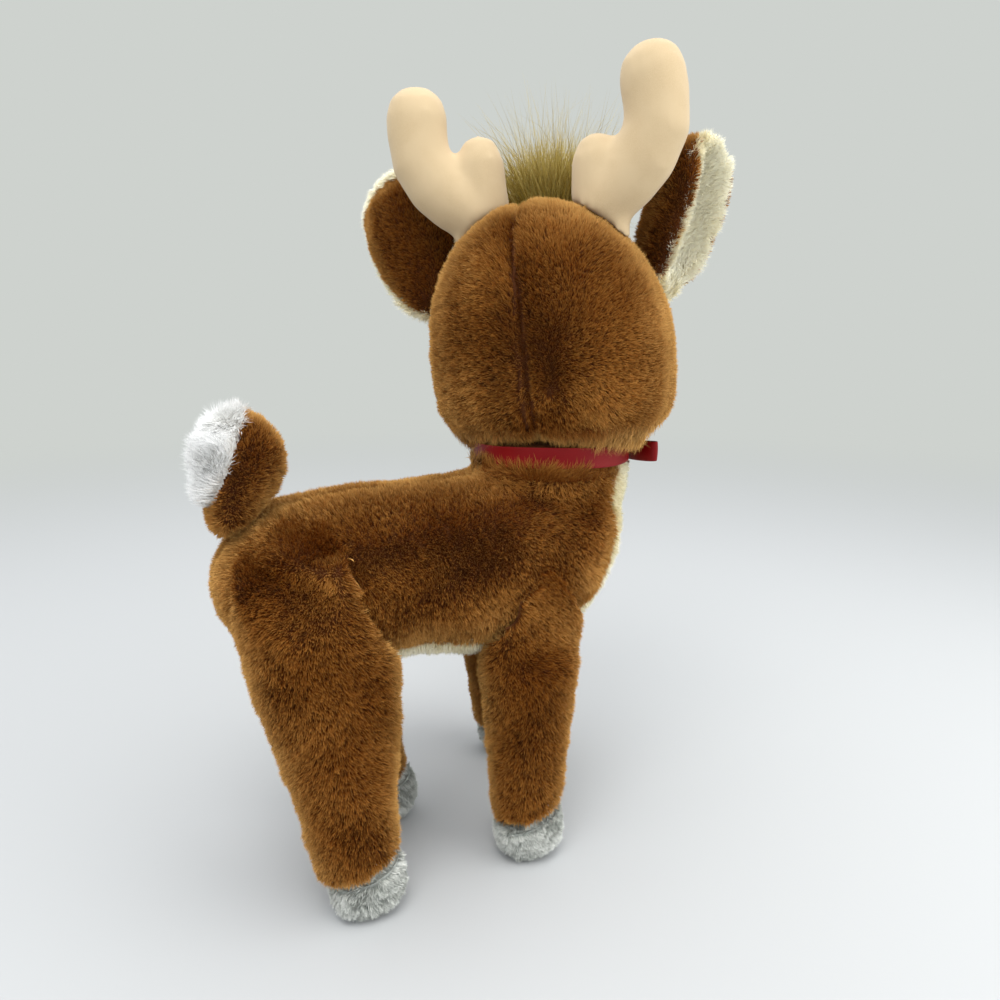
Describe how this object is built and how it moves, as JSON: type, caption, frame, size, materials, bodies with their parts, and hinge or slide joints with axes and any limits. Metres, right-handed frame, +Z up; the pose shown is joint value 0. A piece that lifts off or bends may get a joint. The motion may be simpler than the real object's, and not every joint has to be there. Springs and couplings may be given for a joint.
{
  "type": "plush deer",
  "caption": "Standing plush deer with a turned head, stuffed velour antlers, soft ears and tail, grey hooves and a red ribbon bow, for play and display.",
  "frame": {"origin": "on the floor plane that the soles stand on, under the middle of the whole toy's bounding box", "axes": "+Z is up; the body looks along -Y and its left side is towards +X; the head is sewn on turned about 45 degrees to the deer's left"},
  "size_m": [0.1498, 0.2474, 0.3739],
  "materials": {
    "brown_plush": "short dense pile",
    "cream_plush": "soft pile",
    "white_plush": "long soft pile",
    "grey_plush": "shaggy pile",
    "gold_hair": "long hair",
    "tan_velour": "flat velour",
    "filling": "loose polyester fibre",
    "red_satin": "satin",
    "black_plastic": "polished",
    "clear_nylon": "as moulded"
  },
  "bodies": {
    "toy": {"body_cover": "brown_plush", "head_cover": "brown_plush", "leg_cover_hind_right": "brown_plush", "leg_cover_hind_left": "brown_plush", "leg_cover_front_right": "brown_plush", "leg_cover_front_left": "brown_plush", "belly_panel": "cream_plush", "snout_cover": "cream_plush", "hoof_hind_right": "grey_plush", "hoof_hind_left": "grey_plush", "hoof_front_right": "grey_plush", "hoof_front_left": "grey_plush", "forelock": "gold_hair", "antler_right": "tan_velour", "antler_left": "tan_velour", "body_stuffing": "filling", "head_stuffing": "filling", "leg_stuffing_hind_right": "filling", "leg_stuffing_hind_left": "filling", "leg_stuffing_front_right": "filling", "leg_stuffing_front_left": "filling", "ribbon_band": "red_satin", "bow_knot": "red_satin", "bow_loop_right": "red_satin", "bow_loop_left": "red_satin", "bow_end_right": "red_satin", "bow_end_left": "red_satin", "eye_right": "black_plastic", "eye_left": "black_plastic", "nose": "black_plastic", "eye_washer_right": "clear_nylon", "eye_washer_left": "clear_nylon", "nose_washer": "clear_nylon"},
    "ear_right": {"ear_back_right": "brown_plush", "ear_lining_right": "cream_plush"},
    "ear_left": {"ear_back_left": "brown_plush", "ear_lining_left": "cream_plush"},
    "tail": {"tail_top": "brown_plush", "tail_underside": "white_plush"}
  },
  "joints": [
    {"name": "ear_right_droop", "type": "hinge", "parent": "toy", "child": "ear_right", "pos_m": [-0.0233, -0.09763, 0.27026], "axis": [0.71, -0.6796, 0.1845], "range_deg": [0, 35], "stiffness_Nm_per_rad": 0.04},
    {"name": "ear_left_droop", "type": "hinge", "parent": "toy", "child": "ear_left", "pos_m": [0.03153, 0.00313, 0.26248], "axis": [-0.6861, 0.6952, 0.2145], "range_deg": [0, 35], "stiffness_Nm_per_rad": 0.04},
    {"name": "tail_lift", "type": "hinge", "parent": "toy", "child": "tail", "pos_m": [-0.01325, 0.11372, 0.178], "axis": [-1, 0, 0], "range_deg": [-5, 35], "stiffness_Nm_per_rad": 0.06}
  ]
}
